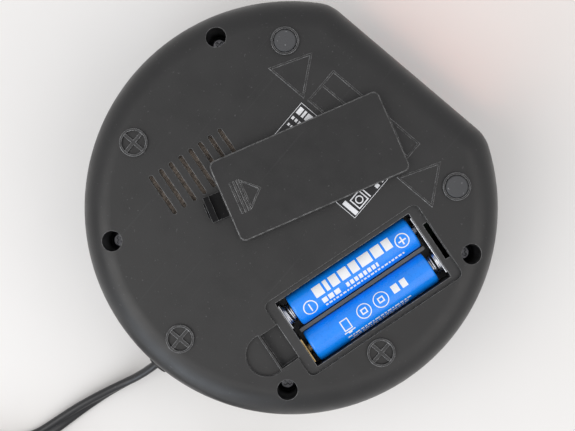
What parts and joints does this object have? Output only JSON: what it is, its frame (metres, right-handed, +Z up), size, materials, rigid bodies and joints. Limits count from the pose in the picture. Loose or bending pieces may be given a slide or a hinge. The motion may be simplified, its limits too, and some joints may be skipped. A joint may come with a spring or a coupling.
{
  "type": "alarm clock radio",
  "caption": "Round mains alarm clock radio with a flat display side, lying upside down with its battery cover off and its cord coiled.",
  "frame": {"origin": "centre of the round body on its flat top face, which is the face it lies on", "axes": "+Z up out of the underside, -Y out of the flat display side, +X along the display side, cord towards +Y"},
  "size_m": [0.1297, 0.2427, 0.0571],
  "materials": {
    "shell": "satin fine-grained black plastic",
    "rib": "satin grey plastic",
    "pad_rubber": "matt rubber",
    "label": "black film label with plain white blocks",
    "screw_steel": "zinc-plated steel",
    "cell": "blue film label on a steel can",
    "spring_steel": "nickel-plated spring steel",
    "contact_brass": "plated brass",
    "basket_steel": "pressed steel",
    "cone_paper": "brown paper",
    "magnet": "ferrite",
    "gasket_felt": "felt",
    "lens": "dark red clear plastic",
    "block_black": "matt black plastic",
    "segments": "lit red segments",
    "board": "green lacquered board",
    "parts_black": "black moulded plastic",
    "tin": "tinned steel",
    "keys": "satin dark grey plastic",
    "core_iron": "varnished laminations",
    "winding": "yellow tape over copper wire",
    "cord_rubber": "satin black flexible sleeve",
    "tie": "black plastic tie",
    "pin_metal": "nickel-plated brass"
  },
  "bodies": {
    "radio": {"base_shell": "shell", "battery_tray": "shell", "cell_rib": "rib", "screw_posts": "shell", "foot_rings": "shell", "cabinet": "shell", "foot_pads": "pad_rubber", "rating_label": "label", "case_screws": "screw_steel", "battery_springs": "spring_steel", "contact_bridge": "spring_steel", "contact_positive": "contact_brass", "contact_negative": "spring_steel", "speaker_basket": "basket_steel", "speaker_cone": "cone_paper", "speaker_magnet": "magnet", "speaker_gasket": "gasket_felt", "display_lens": "lens", "display_block": "block_black", "display_segments": "segments", "display_board": "board", "main_board": "board", "board_parts": "parts_black", "tuner_can": "tin", "board_screws": "screw_steel", "button_board": "board", "key_switches": "parts_black", "button_board_screws": "screw_steel", "transformer_core": "core_iron", "transformer_winding": "winding", "transformer_screws": "screw_steel", "cord_bushing": "cord_rubber", "cord_clamp": "parts_black", "cord_clamp_screws": "screw_steel", "power_cord": "cord_rubber", "cord_coil": "cord_rubber", "cord_tail": "cord_rubber", "cord_tie": "tie", "plug_body": "cord_rubber", "plug_pins": "pin_metal"},
    "cover": {"battery_cover": "shell"},
    "latch": {"cover_latch": "shell"},
    "cell_left": {"battery_left": "cell"},
    "cell_right": {"battery_right": "cell"},
    "snooze": {"snooze_bar": "keys"},
    "key_time": {"button_time": "keys"},
    "key_alarm_1": {"button_alarm_1": "keys"},
    "key_alarm_2": {"button_alarm_2": "keys"},
    "key_radio": {"button_radio": "keys"},
    "key_down": {"button_down": "keys"},
    "key_up": {"button_up": "keys"}
  },
  "joints": [
    {"name": "cover_lift", "type": "slide", "parent": "radio", "child": "cover", "axis": [0, 0, 1], "range_m": [0, 0.06]},
    {"name": "latch_flex", "type": "hinge", "parent": "cover", "child": "latch", "pos_m": [0.01588, 0.01195, 0.0529], "axis": [0.898, -0.4399, 0], "range_deg": [0, 12], "stiffness_Nm_per_rad": 0.02},
    {"name": "cell_left_lift", "type": "slide", "parent": "radio", "child": "cell_left", "axis": [0, 0, 1], "range_m": [0, 0.03]},
    {"name": "cell_right_lift", "type": "slide", "parent": "radio", "child": "cell_right", "axis": [0, 0, 1], "range_m": [0, 0.03]},
    {"name": "snooze_press", "type": "slide", "parent": "radio", "child": "snooze", "axis": [0, 0, 1], "range_m": [0, 0.0008], "stiffness_N_per_m": 300},
    {"name": "button_time_press", "type": "slide", "parent": "radio", "child": "key_time", "axis": [0, 0, 1], "range_m": [0, 0.0008], "stiffness_N_per_m": 250},
    {"name": "button_alarm_1_press", "type": "slide", "parent": "radio", "child": "key_alarm_1", "axis": [0, 0, 1], "range_m": [0, 0.0008], "stiffness_N_per_m": 250},
    {"name": "button_alarm_2_press", "type": "slide", "parent": "radio", "child": "key_alarm_2", "axis": [0, 0, 1], "range_m": [0, 0.0008], "stiffness_N_per_m": 250},
    {"name": "button_radio_press", "type": "slide", "parent": "radio", "child": "key_radio", "axis": [0, 0, 1], "range_m": [0, 0.0008], "stiffness_N_per_m": 250},
    {"name": "button_down_press", "type": "slide", "parent": "radio", "child": "key_down", "axis": [0, 0, 1], "range_m": [0, 0.0008], "stiffness_N_per_m": 250},
    {"name": "button_up_press", "type": "slide", "parent": "radio", "child": "key_up", "axis": [0, 0, 1], "range_m": [0, 0.0008], "stiffness_N_per_m": 250}
  ]
}
